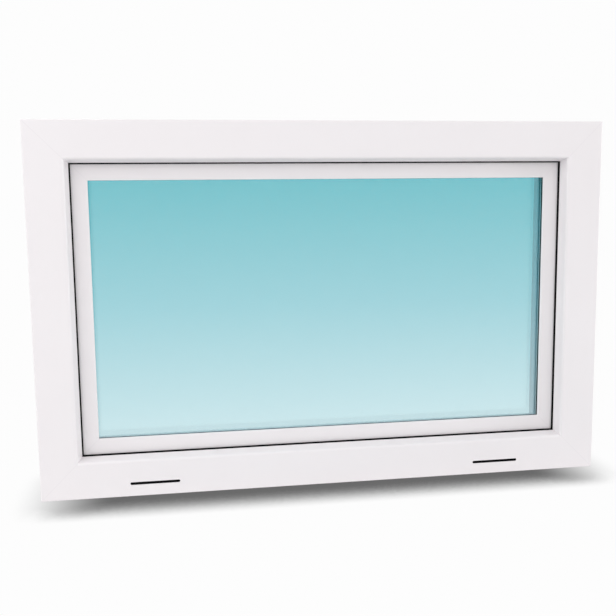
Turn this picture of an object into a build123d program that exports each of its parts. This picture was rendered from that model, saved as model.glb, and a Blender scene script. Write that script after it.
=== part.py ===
from build123d import *
import os

# White PVC-U hopper window: a mitred outer frame, a sash hung on two hinges at its foot so that
# it tilts into the room, a double-glazed unit held in by beads, and a lever handle on the top rail.
# Millimetres. X runs along the window, -Y is outdoors, +Y is the room and +Z is up.
# The origin is the middle of the frame's underside, halfway through the frame's depth.
# Left and right are as seen from outdoors.

# Overall size of the outer frame
WINDOW_WIDTH = 800.0
WINDOW_HEIGHT = 510.0

# Outer frame section
FRAME_DEPTH = 70.0
FRAME_FLOOR = 34.0
FRAME_LEG_HEIGHT = 21.0
FRAME_LEG_DEPTH = 18.0
FRAME_SPLAY = 4.0
FRAME_ROLL = 4.0
FRAME_ARRIS = 1.5
FRAME_LIP_ROUND = 0.5
FRAME_WALL = 2.8
FRAME_WEB = 1.6
DRAIN_CHANNEL = 8.0
ANCHOR_GROOVE_WIDTH = 10.0
ANCHOR_GROOVE_DEPTH = 3.0
ANCHOR_GROOVE_SPACING = 44.0

# Weep slots in the sill's face, and the drain slots in its rebate that feed them
WEEP_LENGTH = 68.0
WEEP_HEIGHT = 4.0
WEEP_INSET = 119.5
WEEP_LEVEL = 18.0
DRAIN_LENGTH = 30.0
DRAIN_WIDTH = 5.0
DRAIN_STAGGER = 60.0

# Sash section
SASH_AIR = 12.0
SASH_OVERLAP = 8.0
SASH_CORE = 12.0
SASH_LEG_HEIGHT = 20.0
SASH_LEG_DEPTH = 6.0
SASH_LIP_DEPTH = 3.0
SASH_FLANGE_DEPTH = 14.0
SASH_ARRIS = 1.5
SASH_LIP_ROUND = 0.5
SASH_FLANGE_ROUND = 3.0
SASH_WALL = 2.5
SASH_WEB = 1.6

# Rubber seals: every seal has a foot pressed into a groove
SEAL_GAP = 3.5
SEAL_NOSE = 1.6
SEAL_ROUND = 1.0
SEAL_WIDTH = 6.0
SEAL_FOOT_WIDTH = 2.5
SEAL_FOOT_DEPTH = 3.0
SEAL_FOOT_SETBACK = 3.0
SEAL_FIT = 0.1
SEAL_BACKING = 1.5

# Double-glazed unit
PANE_THICKNESS = 4.0
CAVITY = 12.0
GLASS_CLEARANCE = 3.5
EDGE_SEAL_WIDTH = 4.0
SPACER_HEIGHT = 6.5
SPACER_CHAMFER = 2.0
SPACER_WALL = 0.8
OUTER_GLAZING_SEAL = 2.5
INNER_GLAZING_SEAL = 3.0
GLAZING_SEAL_WIDTH = 7.0
GLAZING_SEAL_SETBACK = 0.6
GLAZING_SEAL_NOSE = 2.0
PACKER_LENGTH = 100.0
PACKER_INSET = 60.0

# Glazing beads
BEAD_HEIGHT = 13.0
BEAD_LAND = 4.0
BEAD_SHOULDER = 6.0
BEAD_NOSE_ROUND = 2.0
BEAD_EDGE_ROUND = 3.0
BEAD_WALL = 2.0
BEAD_FOOT_WIDTH = 3.0
BEAD_FOOT_DEPTH = 1.5
BEAD_FOOT_SETBACK = 16.0
BEAD_FIT = 0.1

# Lever handle
ROSE_WIDTH = 66.0
ROSE_HEIGHT = 28.0
ROSE_DEPTH = 11.0
ROSE_CORNER = 9.0
ROSE_EDGE = 2.5
NECK_RADIUS = 8.5
LEVER_LENGTH = 122.0
LEVER_HEIGHT = 20.0
LEVER_TIP_HEIGHT = 15.0
LEVER_THICKNESS = 11.0
LEVER_TIP_THICKNESS = 9.0
LEVER_STANDOFF = 28.0
LEVER_BEND = 10.0
LEVER_EDGE = 2.0

# Hinges at the foot of the sash
HINGE_LENGTH = 60.0
HINGE_INSET = 110.0
HINGE_LEAF = 3.0
HINGE_KNUCKLE_RADIUS = 7.0
HINGE_SASH_KNUCKLE = 28.0
HINGE_GAP = 0.5
HINGE_SWING_CLEARANCE = 1.5
HINGE_LEAF_ROUND = 3.0
HINGE_FOOT_CLEARANCE = 4.0
HINGE_SASH_LEAF_HEIGHT = 26.0
PIN_RADIUS = 3.0
PIN_FIT = 0.05
PIN_END = 1.5

# Levels through the depth, from outdoors to the room
FRAME_FRONT = -FRAME_DEPTH / 2
FRAME_BACK = FRAME_DEPTH / 2
FRAME_LEG_BACK = FRAME_FRONT + FRAME_LEG_DEPTH
SASH_FRONT = FRAME_LEG_BACK + SEAL_GAP
SASH_LIP_BACK = SASH_FRONT + SASH_LIP_DEPTH
SASH_LEG_BACK = SASH_FRONT + SASH_LEG_DEPTH
OUTER_PANE_FRONT = SASH_LEG_BACK + OUTER_GLAZING_SEAL
CAVITY_FRONT = OUTER_PANE_FRONT + PANE_THICKNESS
CAVITY_BACK = CAVITY_FRONT + CAVITY
INNER_PANE_BACK = CAVITY_BACK + PANE_THICKNESS
BEAD_FRONT = INNER_PANE_BACK + INNER_GLAZING_SEAL
FLANGE_FRONT = FRAME_BACK + SEAL_GAP
SASH_BACK = FLANGE_FRONT + SASH_FLANGE_DEPTH

# Levels across the section, measured inwards from the frame's outer edge
FRAME_LIP = FRAME_FLOOR + FRAME_LEG_HEIGHT
FLANGE_EDGE = FRAME_FLOOR - SASH_OVERLAP
SASH_EDGE = FRAME_FLOOR + SASH_AIR
GLAZING_FLOOR = SASH_EDGE + SASH_CORE
SIGHT_LINE = GLAZING_FLOOR + SASH_LEG_HEIGHT
GLASS_EDGE = GLAZING_FLOOR + GLASS_CLEARANCE
SPACER_EDGE = GLASS_EDGE + EDGE_SEAL_WIDTH
SPACER_SIGHT = SPACER_EDGE + SPACER_HEIGHT
FRAME_SEAL_TIP = FRAME_LIP + SEAL_NOSE
SASH_SEAL_TIP = FRAME_FLOOR - FRAME_ARRIS
BEAD_SIGHT = GLAZING_FLOOR + BEAD_HEIGHT
OUTER_SEAL_TIP = SIGHT_LINE - GLAZING_SEAL_SETBACK
INNER_SEAL_TIP = BEAD_SIGHT - GLAZING_SEAL_SETBACK
SASH_LEG_TIP = OUTER_SEAL_TIP - GLAZING_SEAL_NOSE

# Each side of the window as a plane: X runs inwards across the section, Y through the depth
# towards the room, and Z along the member from one outer corner to the next.
HALF_WIDTH = WINDOW_WIDTH / 2
SIDE_PLANES = {
    "sill": Plane(origin=(HALF_WIDTH, 0, 0), x_dir=(0, 0, 1), z_dir=(-1, 0, 0)),
    "head": Plane(origin=(-HALF_WIDTH, 0, WINDOW_HEIGHT), x_dir=(0, 0, -1), z_dir=(1, 0, 0)),
    "left": Plane(origin=(-HALF_WIDTH, 0, 0), x_dir=(1, 0, 0), z_dir=(0, 0, 1)),
    "right": Plane(origin=(HALF_WIDTH, 0, WINDOW_HEIGHT), x_dir=(-1, 0, 0), z_dir=(0, 0, -1)),
}
SIDE_LENGTHS = {
    "sill": WINDOW_WIDTH,
    "head": WINDOW_WIDTH,
    "left": WINDOW_HEIGHT,
    "right": WINDOW_HEIGHT,
}


def outline(corners, least_radius=0):
    """A closed section from (across, depth, radius) corners, sharp where a radius isn't over the least."""
    points = [(across, depth) for across, depth, _ in corners]
    radii = [radius if radius > least_radius else 0 for _, _, radius in corners]
    return make_face(FilletPolyline(*points, radius=radii, close=True))


def block(across_from, across_to, depth_from, depth_to):
    """A plain rectangle of a section, given by its limits."""
    middle = Pos((across_from + across_to) / 2, (depth_from + depth_to) / 2)
    return middle * Rectangle(abs(across_to - across_from), abs(depth_to - depth_from))


def hollow(corners, wall, solid_parts):
    """An extruded plastic section: a skin of one wall thickness, and what stays solid inside it."""
    core = offset(outline(corners, least_radius=wall), amount=-wall, kind=Kind.INTERSECTION)
    for solid_part in solid_parts:
        core -= solid_part
    return outline(corners) - core


def foot_groove(tip, face, into):
    """The groove that a seal's foot is pressed into, cut into a face towards into (-1 or +1)."""
    middle = tip - SEAL_FOOT_SETBACK - SEAL_FOOT_WIDTH / 2
    half = SEAL_FOOT_WIDTH / 2
    return block(middle - half, middle + half, face, face + into * SEAL_FOOT_DEPTH)


def foot_backing(tip, face, into):
    """The plastic that stays solid round such a groove."""
    middle = tip - SEAL_FOOT_SETBACK - SEAL_FOOT_WIDTH / 2
    half = SEAL_FOOT_WIDTH / 2 + SEAL_BACKING
    return block(middle - half, middle + half, face, face + into * (SEAL_FOOT_DEPTH + SEAL_BACKING))


def seal_foot(tip, face, into):
    """A seal's foot, a little smaller all round than its groove."""
    middle = tip - SEAL_FOOT_SETBACK - SEAL_FOOT_WIDTH / 2
    half = SEAL_FOOT_WIDTH / 2 - SEAL_FIT
    return block(middle - half, middle + half, face, face + into * (SEAL_FOOT_DEPTH - SEAL_FIT))


def seal_section(tip, width, face, far_face, into):
    """A rubber seal between two faces, with a rounded nose at its tip and a foot in its groove."""
    corners = [
        (tip - width, face, 0),
        (tip, face, SEAL_ROUND),
        (tip, far_face, SEAL_ROUND),
        (tip - width, far_face, 0),
    ]
    return outline(corners) + seal_foot(tip, face, into)


def outer_glazing_section():
    """The seal under the outer pane, whose nose wraps the sash's leg as far as the leg's front lip."""
    corners = [
        (OUTER_SEAL_TIP - GLAZING_SEAL_WIDTH, SASH_LEG_BACK, 0),
        (SASH_LEG_TIP, SASH_LEG_BACK, 0),
        (SASH_LEG_TIP, SASH_LIP_BACK, 0),
        (OUTER_SEAL_TIP, SASH_LIP_BACK, SEAL_ROUND),
        (OUTER_SEAL_TIP, OUTER_PANE_FRONT, SEAL_ROUND),
        (OUTER_SEAL_TIP - GLAZING_SEAL_WIDTH, OUTER_PANE_FRONT, 0),
    ]
    return outline(corners) + seal_foot(OUTER_SEAL_TIP, SASH_LEG_BACK, -1)


def mitred_run(section, side):
    """One straight member with its section, cut at 45 degrees at both ends and set in its place."""
    length = SIDE_LENGTHS[side]
    wedge = Plane.XZ * make_face(Polyline((0, 0), (length / 2, length / 2), (0, length), close=True))
    mitres = extrude(wedge, amount=FRAME_DEPTH + SASH_BACK, both=True)
    return SIDE_PLANES[side].location * (extrude(section, amount=length) & mitres)


def ring(section):
    """Four mitred runs joined at the corners into one closed ring."""
    runs = [mitred_run(section, side) for side in SIDE_PLANES]
    return runs[0] + runs[1:]


def frame_section():
    """The outer frame: a splayed leg outdoors, a rebate for the sash, and three chambers."""
    corners = [
        (0, FRAME_FRONT, FRAME_ARRIS),
        (FRAME_LIP - FRAME_SPLAY, FRAME_FRONT, FRAME_ROLL),
        (FRAME_LIP, FRAME_LEG_BACK, FRAME_LIP_ROUND),
        (FRAME_FLOOR, FRAME_LEG_BACK, 0),
        (FRAME_FLOOR, FRAME_BACK, FRAME_ARRIS),
        (0, FRAME_BACK, FRAME_ARRIS),
    ]
    drain_web = FRAME_LEG_BACK + DRAIN_CHANNEL
    rear_web = (drain_web + FRAME_BACK) / 2
    solid_parts = [foot_backing(FRAME_SEAL_TIP, FRAME_LEG_BACK, -1)]
    for web in (drain_web, rear_web):
        solid_parts.append(block(0, FRAME_FLOOR, web, web + FRAME_WEB))
    grooves = [foot_groove(FRAME_SEAL_TIP, FRAME_LEG_BACK, -1)]
    for hand in (-1, 1):
        middle = hand * ANCHOR_GROOVE_SPACING / 2
        half = ANCHOR_GROOVE_WIDTH / 2
        grooves.append(block(0, ANCHOR_GROOVE_DEPTH, middle - half, middle + half))
        half += FRAME_WALL
        solid_parts.append(block(0, ANCHOR_GROOVE_DEPTH + FRAME_WALL, middle - half, middle + half))
    return hollow(corners, FRAME_WALL, solid_parts) - grooves


def sash_section():
    """The sash: a leg outdoors that the glass rests against, a core, and a flange over the frame."""
    corners = [
        (SASH_EDGE, SASH_FRONT, SASH_ARRIS),
        (SIGHT_LINE, SASH_FRONT, SASH_ARRIS),
        (SIGHT_LINE, SASH_LIP_BACK, SASH_LIP_ROUND),
        (SASH_LEG_TIP, SASH_LIP_BACK, 0),
        (SASH_LEG_TIP, SASH_LEG_BACK, 0),
        (GLAZING_FLOOR, SASH_LEG_BACK, 0),
        (GLAZING_FLOOR, SASH_BACK, 0),
        (FLANGE_EDGE, SASH_BACK, SASH_FLANGE_ROUND),
        (FLANGE_EDGE, FLANGE_FRONT, SASH_ARRIS),
        (SASH_EDGE, FLANGE_FRONT, 0),
    ]
    front_web = (SASH_FRONT + FLANGE_FRONT) / 2
    solid_parts = [
        foot_backing(SASH_SEAL_TIP, FLANGE_FRONT, 1),
        block(GLAZING_FLOOR, SIGHT_LINE, SASH_FRONT, SASH_LEG_BACK),
        block(SASH_EDGE, GLAZING_FLOOR, front_web, front_web + SASH_WEB),
        block(SASH_EDGE, GLAZING_FLOOR, FLANGE_FRONT, FLANGE_FRONT + SASH_WEB),
        bead_groove_backing(),
    ]
    grooves = [
        foot_groove(SASH_SEAL_TIP, FLANGE_FRONT, 1),
        foot_groove(OUTER_SEAL_TIP, SASH_LEG_BACK, -1),
        bead_groove(),
    ]
    return hollow(corners, SASH_WALL, solid_parts) - grooves


def bead_groove():
    """The groove in the glazing rebate's floor that a bead's foot clips into."""
    start = SASH_BACK - BEAD_FOOT_SETBACK
    return block(GLAZING_FLOOR - BEAD_FOOT_DEPTH, GLAZING_FLOOR, start, start + BEAD_FOOT_WIDTH)


def bead_groove_backing():
    """The plastic that stays solid round the bead's groove."""
    start = SASH_BACK - BEAD_FOOT_SETBACK
    end = start + BEAD_FOOT_WIDTH
    depth = BEAD_FOOT_DEPTH + SEAL_BACKING
    return block(GLAZING_FLOOR - depth, GLAZING_FLOOR, start - SEAL_BACKING, end + SEAL_BACKING)


def bead_section():
    """A glazing bead: upright at the glass, sloping down to the room, with a foot in its groove."""
    corners = [
        (GLAZING_FLOOR, BEAD_FRONT, 0),
        (BEAD_SIGHT, BEAD_FRONT, 0),
        (BEAD_SIGHT, BEAD_FRONT + BEAD_LAND, BEAD_NOSE_ROUND),
        (GLAZING_FLOOR + BEAD_SHOULDER, SASH_BACK, BEAD_EDGE_ROUND),
        (GLAZING_FLOOR, SASH_BACK, 0),
    ]
    start = SASH_BACK - BEAD_FOOT_SETBACK
    foot = block(
        GLAZING_FLOOR - BEAD_FOOT_DEPTH + BEAD_FIT,
        GLAZING_FLOOR,
        start + BEAD_FIT,
        start + BEAD_FOOT_WIDTH - BEAD_FIT,
    )
    backing = foot_backing(INNER_SEAL_TIP, BEAD_FRONT, 1)
    skin = hollow(corners, BEAD_WALL, [backing])
    return skin - foot_groove(INNER_SEAL_TIP, BEAD_FRONT, 1) + foot


def spacer_outline():
    """The outside of the spacer bar, with its corners cut back on the side of the edge seal."""
    return [
        (SPACER_SIGHT, CAVITY_FRONT, 0),
        (SPACER_SIGHT, CAVITY_BACK, 0),
        (SPACER_EDGE + SPACER_CHAMFER, CAVITY_BACK, 0),
        (SPACER_EDGE, CAVITY_BACK - SPACER_CHAMFER, 0),
        (SPACER_EDGE, CAVITY_FRONT + SPACER_CHAMFER, 0),
        (SPACER_EDGE + SPACER_CHAMFER, CAVITY_FRONT, 0),
    ]


def edge_seal_section():
    """The sealant that fills the unit's rim between the panes, up to the spacer bar."""
    rim = block(GLASS_EDGE, SPACER_EDGE + SPACER_CHAMFER, CAVITY_FRONT, CAVITY_BACK)
    return rim - outline(spacer_outline())


def pane(front):
    """One sheet of glass, with its outdoor face at a given depth."""
    width = WINDOW_WIDTH - 2 * GLASS_EDGE
    height = WINDOW_HEIGHT - 2 * GLASS_EDGE
    return Pos(0, front + PANE_THICKNESS / 2, WINDOW_HEIGHT / 2) * Box(width, PANE_THICKNESS, height)


def glazing_packer(hand):
    """A packer under the glass at its left (-1) or right (+1) end, on the glazing rebate's floor."""
    middle_x = hand * (HALF_WIDTH - GLASS_EDGE - PACKER_INSET - PACKER_LENGTH / 2)
    middle_y = (OUTER_PANE_FRONT + INNER_PANE_BACK) / 2
    middle_z = GLAZING_FLOOR + GLASS_CLEARANCE / 2
    depth = INNER_PANE_BACK - OUTER_PANE_FRONT
    return Pos(middle_x, middle_y, middle_z) * Box(PACKER_LENGTH, depth, GLASS_CLEARANCE)


def frame_sill():
    """The frame's bottom member, with weep slots in its face and drain slots in its rebate."""
    sill = mitred_run(frame_section(), "sill")
    through_wall = 2 * FRAME_WALL
    for hand in (-1, 1):
        weep_x = hand * (HALF_WIDTH - WEEP_INSET - WEEP_LENGTH / 2)
        face = Plane(origin=(weep_x, FRAME_FRONT, WEEP_LEVEL), x_dir=(1, 0, 0), z_dir=(0, -1, 0))
        sill -= extrude(face * SlotOverall(WEEP_LENGTH, WEEP_HEIGHT), amount=through_wall, both=True)
        drain_x = weep_x - hand * (WEEP_LENGTH / 2 + DRAIN_STAGGER)
        drain_y = FRAME_LEG_BACK + DRAIN_CHANNEL / 2
        floor = Plane(origin=(drain_x, drain_y, FRAME_FLOOR), x_dir=(1, 0, 0), z_dir=(0, 0, 1))
        sill -= extrude(floor * SlotOverall(DRAIN_LENGTH, DRAIN_WIDTH), amount=through_wall, both=True)
    return sill


HANDLE_LEVEL = WINDOW_HEIGHT - (FLANGE_EDGE + GLAZING_FLOOR) / 2
ROSE_FRONT = SASH_BACK + ROSE_DEPTH


def handle_rose():
    """The rounded plate that the handle turns in, on the room side of the sash's top rail."""
    face = Plane(origin=(0, SASH_BACK, HANDLE_LEVEL), x_dir=(1, 0, 0), z_dir=(0, 1, 0))
    rose = extrude(face * RectangleRounded(ROSE_WIDTH, ROSE_HEIGHT, ROSE_CORNER), amount=ROSE_DEPTH)
    return chamfer(rose.faces().sort_by(Axis.Y)[-1].edges(), ROSE_EDGE)


def handle_lever():
    """The lever: a neck out of the rose, a bend, and a tapering grip along the rail."""
    grip_back = SASH_BACK + LEVER_STANDOFF
    grip_front = grip_back + LEVER_THICKNESS
    tip_front = grip_back + LEVER_TIP_THICKNESS
    past_tip = LEVER_LENGTH + LEVER_TIP_HEIGHT
    plan = outline([
        (-NECK_RADIUS, ROSE_FRONT, 0),
        (NECK_RADIUS, ROSE_FRONT, 0),
        (NECK_RADIUS, grip_back, LEVER_BEND),
        (past_tip, grip_back, 0),
        (past_tip, tip_front, 0),
        (-NECK_RADIUS, grip_front, LEVER_BEND),
    ])
    tip_radius = LEVER_TIP_HEIGHT / 2
    neck_end = Circle(LEVER_HEIGHT / 2)
    tip_end = Pos(LEVER_LENGTH - tip_radius, 0) * Circle(tip_radius)
    elevation = Plane.XZ * make_hull((neck_end + tip_end).edges())
    bar = extrude(plan, amount=LEVER_HEIGHT, both=True) & extrude(elevation, amount=-2 * grip_front)
    root = bar.faces().sort_by(Axis.Y)[0]
    bar = fillet(bar.edges() - root.edges(), LEVER_EDGE)
    return Pos(0, 0, HANDLE_LEVEL) * bar


HINGE_AXIS_DEPTH = SASH_BACK + HINGE_LEAF - HINGE_KNUCKLE_RADIUS
HINGE_AXIS_LEVEL = FLANGE_EDGE - HINGE_SWING_CLEARANCE - HINGE_KNUCKLE_RADIUS
HINGE_HALF = HINGE_LENGTH / 2
SASH_KNUCKLE_HALF = HINGE_SASH_KNUCKLE / 2


def along_x(section, start, end):
    """A section drawn in depth and level, carried along the window from start to end."""
    return extrude(Plane.YZ.offset(start) * section, amount=end - start)


def knuckle():
    """The round of a hinge leaf about the pin, before its bore."""
    return Pos(HINGE_AXIS_DEPTH, HINGE_AXIS_LEVEL) * Circle(HINGE_KNUCKLE_RADIUS)


def pin_bore(middle_x):
    """The bore for the hinge pin through a whole hinge."""
    bore = Pos(HINGE_AXIS_DEPTH, HINGE_AXIS_LEVEL) * Circle(PIN_RADIUS + PIN_FIT)
    return along_x(bore, middle_x - HINGE_HALF - HINGE_GAP, middle_x + HINGE_HALF + HINGE_GAP)


def hinge_frame_leaf(middle_x):
    """The leaf on the frame: a plate, a strap out to the axis, and a knuckle at each end."""
    strap_level = HINGE_AXIS_LEVEL - HINGE_KNUCKLE_RADIUS
    plate_top = HINGE_AXIS_LEVEL + HINGE_KNUCKLE_RADIUS
    plate = block(FRAME_BACK, FRAME_BACK + HINGE_LEAF, HINGE_FOOT_CLEARANCE, plate_top)
    strap = block(FRAME_BACK, HINGE_AXIS_DEPTH, strap_level, strap_level + HINGE_LEAF)
    leaf = along_x(plate + strap + knuckle(), middle_x - HINGE_HALF, middle_x + HINGE_HALF)
    notch_half = SASH_KNUCKLE_HALF + HINGE_GAP
    reach = HINGE_KNUCKLE_RADIUS + HINGE_GAP
    notch = Pos(HINGE_AXIS_DEPTH, HINGE_AXIS_LEVEL) * Rectangle(2 * reach, 2 * reach)
    leaf -= along_x(notch, middle_x - notch_half, middle_x + notch_half)
    return leaf - pin_bore(middle_x)


def hinge_sash_leaf(middle_x):
    """The leaf on the sash: a plate on its room side that rolls round the pin in the middle."""
    plate_top = FLANGE_EDGE + HINGE_SASH_LEAF_HEIGHT
    plate = block(SASH_BACK, SASH_BACK + HINGE_LEAF, HINGE_AXIS_LEVEL, plate_top)
    leaf = along_x(plate, middle_x - HINGE_HALF, middle_x + HINGE_HALF)
    corners = leaf.edges().filter_by(Axis.Y).group_by(Axis.Z)[-1]
    leaf = fillet(corners, HINGE_LEAF_ROUND)
    shoulder = HINGE_AXIS_LEVEL + HINGE_KNUCKLE_RADIUS + HINGE_GAP
    notch = block(SASH_BACK, SASH_BACK + HINGE_LEAF, HINGE_AXIS_LEVEL, shoulder)
    for hand in (-1, 1):
        notch_ends = (middle_x + hand * SASH_KNUCKLE_HALF, middle_x + hand * HINGE_HALF)
        leaf -= along_x(notch, min(notch_ends), max(notch_ends))
    leaf += along_x(knuckle(), middle_x - SASH_KNUCKLE_HALF, middle_x + SASH_KNUCKLE_HALF)
    return leaf - pin_bore(middle_x)


def hinge_pin(middle_x):
    """The hinge pin, standing a little out of the knuckles at both ends."""
    half = HINGE_HALF + PIN_END
    section = Pos(HINGE_AXIS_DEPTH, HINGE_AXIS_LEVEL) * Circle(PIN_RADIUS)
    return along_x(section, middle_x - half, middle_x + half)


def window_parts():
    """Every piece of the window by its name."""
    parts = {"frame_sill": frame_sill()}
    parts["frame_head"] = mitred_run(frame_section(), "head")
    parts["sash_bottom_rail"] = mitred_run(sash_section(), "sill")
    parts["sash_top_rail"] = mitred_run(sash_section(), "head")
    parts["bead_bottom"] = mitred_run(bead_section(), "sill")
    parts["bead_top"] = mitred_run(bead_section(), "head")
    hands = {"left": -1, "right": 1}
    for side, hand in hands.items():
        parts[f"frame_jamb_{side}"] = mitred_run(frame_section(), side)
        parts[f"sash_stile_{side}"] = mitred_run(sash_section(), side)
        parts[f"bead_{side}"] = mitred_run(bead_section(), side)
        parts[f"glazing_packer_{side}"] = glazing_packer(hand)
        hinge_x = hand * (HALF_WIDTH - HINGE_INSET - HINGE_HALF)
        parts[f"hinge_{side}_frame_leaf"] = hinge_frame_leaf(hinge_x)
        parts[f"hinge_{side}_sash_leaf"] = hinge_sash_leaf(hinge_x)
        parts[f"hinge_{side}_pin"] = hinge_pin(hinge_x)
    parts["frame_gasket"] = ring(
        seal_section(FRAME_SEAL_TIP, SEAL_WIDTH + SEAL_NOSE, FRAME_LEG_BACK, SASH_FRONT, -1)
    )
    parts["sash_gasket"] = ring(
        seal_section(SASH_SEAL_TIP, SEAL_WIDTH, FLANGE_FRONT, FRAME_BACK, 1)
    )
    parts["outer_glazing_gasket"] = ring(outer_glazing_section())
    parts["inner_glazing_gasket"] = ring(
        seal_section(INNER_SEAL_TIP, GLAZING_SEAL_WIDTH, BEAD_FRONT, INNER_PANE_BACK, 1)
    )
    parts["outer_pane"] = pane(OUTER_PANE_FRONT)
    parts["inner_pane"] = pane(CAVITY_BACK)
    parts["spacer_bar"] = ring(hollow(spacer_outline(), SPACER_WALL, []))
    parts["edge_seal"] = ring(edge_seal_section())
    parts["handle_rose"] = handle_rose()
    parts["handle_lever"] = handle_lever()
    return parts


os.makedirs("parts", exist_ok=True)
for name, solid in window_parts().items():
    export_step(solid, f"parts/{name}.step")
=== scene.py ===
"""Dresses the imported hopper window: white plastic, black seals, tinted double glazing and white fittings.

Metres. X runs along the window, -Y is outdoors, +Y is the room and +Z is up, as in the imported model.
"""

import logging
import math
from abc import ABC, abstractmethod
from dataclasses import dataclass, field
from enum import Enum
from typing import Any, Callable

import bpy
from mathutils import Matrix, Vector


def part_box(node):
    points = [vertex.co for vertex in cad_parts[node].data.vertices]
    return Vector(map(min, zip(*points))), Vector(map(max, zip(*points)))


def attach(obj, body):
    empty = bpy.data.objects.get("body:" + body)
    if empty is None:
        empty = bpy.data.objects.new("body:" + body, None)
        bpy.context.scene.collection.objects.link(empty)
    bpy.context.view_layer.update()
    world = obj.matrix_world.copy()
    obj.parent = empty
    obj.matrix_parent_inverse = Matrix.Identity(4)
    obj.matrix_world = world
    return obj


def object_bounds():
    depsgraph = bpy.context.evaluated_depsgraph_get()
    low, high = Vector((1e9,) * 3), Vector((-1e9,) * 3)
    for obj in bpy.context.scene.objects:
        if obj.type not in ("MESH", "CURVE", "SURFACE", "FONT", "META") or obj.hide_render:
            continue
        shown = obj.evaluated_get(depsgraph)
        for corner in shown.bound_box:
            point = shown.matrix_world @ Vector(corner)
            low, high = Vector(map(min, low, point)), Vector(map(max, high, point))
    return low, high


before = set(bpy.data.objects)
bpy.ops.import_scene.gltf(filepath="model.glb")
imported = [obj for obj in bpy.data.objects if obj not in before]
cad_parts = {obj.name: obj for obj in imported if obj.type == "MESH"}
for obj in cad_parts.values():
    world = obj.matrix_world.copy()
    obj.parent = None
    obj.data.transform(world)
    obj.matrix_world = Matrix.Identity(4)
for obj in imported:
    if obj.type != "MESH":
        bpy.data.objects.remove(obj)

log = logging.getLogger("hopper_window")

MM = 0.001
BODY = "root"
CAD_LOW, CAD_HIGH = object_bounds()
HALF_WIDTH = (CAD_HIGH.x - CAD_LOW.x) / 2
HEIGHT = CAD_HIGH.z - CAD_LOW.z
SMOOTH_ANGLE = math.radians(35)
ROUND_SEGMENTS = 2
# A face looks along an axis where at least this share of its normal does
FACING = 0.9
# The turn of a piece that is modelled on Z = 0, so that its top looks into the room
FACING_ROOM = (-math.pi / 2, 0.0, 0.0)


class Run(Enum):
    """Which way an extruded member runs."""

    LEVEL = "level"
    UPRIGHT = "upright"


class Hand(Enum):
    """A side of the window as seen from outdoors, with the sign of its X."""

    LEFT = -1
    RIGHT = 1

    @property
    def side(self) -> str:
        """The side's word in the names of pieces."""
        return self.name.lower()


class Choice(Enum):
    """What edit mode selects, as Blender's switches for points, edges and faces."""

    EDGES = (False, True, False)
    FACES = (False, False, True)


def linear(colour: str) -> tuple[float, float, float, float]:
    """Turns an sRGB hex colour into linear red, green, blue and alpha, by the curve of the sRGB standard.

    Args:
        colour: Six hex digits after a hash sign.

    Returns:
        The linear colour with an alpha of 1.
    """
    levels = [int(colour[start:start + 2], 16) / 255 for start in (1, 3, 5)]
    red, green, blue = (
        level / 12.92 if level <= 0.04045 else ((level + 0.055) / 1.055) ** 2.4 for level in levels
    )
    return red, green, blue, 1.0


def add_node(
    tree: bpy.types.NodeTree,
    kind: str,
    settings: dict[str, Any] | None = None,
    inputs: dict[Any, Any] | None = None,
) -> bpy.types.Node:
    """Adds a node with its settings and links.

    Args:
        tree: The node tree that takes the node.
        kind: Blender's name for the kind of node.
        settings: Properties of the node by name.
        inputs: By an input's name or number, its value or the socket that it is linked from.

    Returns:
        The new node.
    """
    node = tree.nodes.new(kind)
    for name, value in (settings or {}).items():
        setattr(node, name, value)
    for name, value in (inputs or {}).items():
        if isinstance(value, bpy.types.NodeSocket):
            tree.links.new(value, node.inputs[name])
        else:
            node.inputs[name].default_value = value
    return node


def cloudy_tone(
    tree: bpy.types.NodeTree,
    place: bpy.types.NodeSocket,
    size: float,
    detail: float,
    colours: tuple[str, str],
) -> tuple[bpy.types.NodeSocket, bpy.types.NodeSocket]:
    """Adds a cloudy pattern and a tone that wanders with it between two colours.

    Args:
        tree: The material's node tree.
        place: The socket with the place on the piece.
        size: The size of the clouds.
        detail: How many finer layers the clouds have.
        colours: The colours at the low and the high end of the pattern.

    Returns:
        The pattern's socket and the tone's socket.
    """
    clouds = add_node(tree, "ShaderNodeTexNoise",
                      inputs={"Vector": place, "Scale": 1 / size, "Detail": detail})
    tone = add_node(tree, "ShaderNodeMix", {"data_type": "RGBA"}, {
        "Factor": clouds.outputs["Fac"],
        "A": linear(colours[0]),
        "B": linear(colours[1]),
    })
    return clouds.outputs["Fac"], tone.outputs["Result"]


@dataclass(frozen=True)
class Finish(ABC):
    """A surface finish, whose material is made once and shared by the pieces that wear it."""

    name: str

    @abstractmethod
    def paint(self, tree: bpy.types.NodeTree) -> bpy.types.NodeSocket:
        """Adds the finish's nodes.

        Args:
            tree: The material's node tree.

        Returns:
            The shader's socket.
        """

    def material(self) -> bpy.types.Material:
        """Makes the finish's material when it is first asked for.

        Returns:
            The material, the same each time.
        """
        found = bpy.data.materials.get(self.name)
        if found is None:
            found = bpy.data.materials.new(self.name)
            found.use_nodes = True
            found.node_tree.nodes.clear()
            surface = self.paint(found.node_tree)
            add_node(found.node_tree, "ShaderNodeOutputMaterial", inputs={"Surface": surface})
        return found

    def dress(self, *pieces: bpy.types.Object) -> None:
        """Puts the material on each piece in place of what it wears.

        Args:
            pieces: The pieces that wear the finish.
        """
        for piece in pieces:
            piece.data.materials.clear()
            piece.data.materials.append(self.material())


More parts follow.
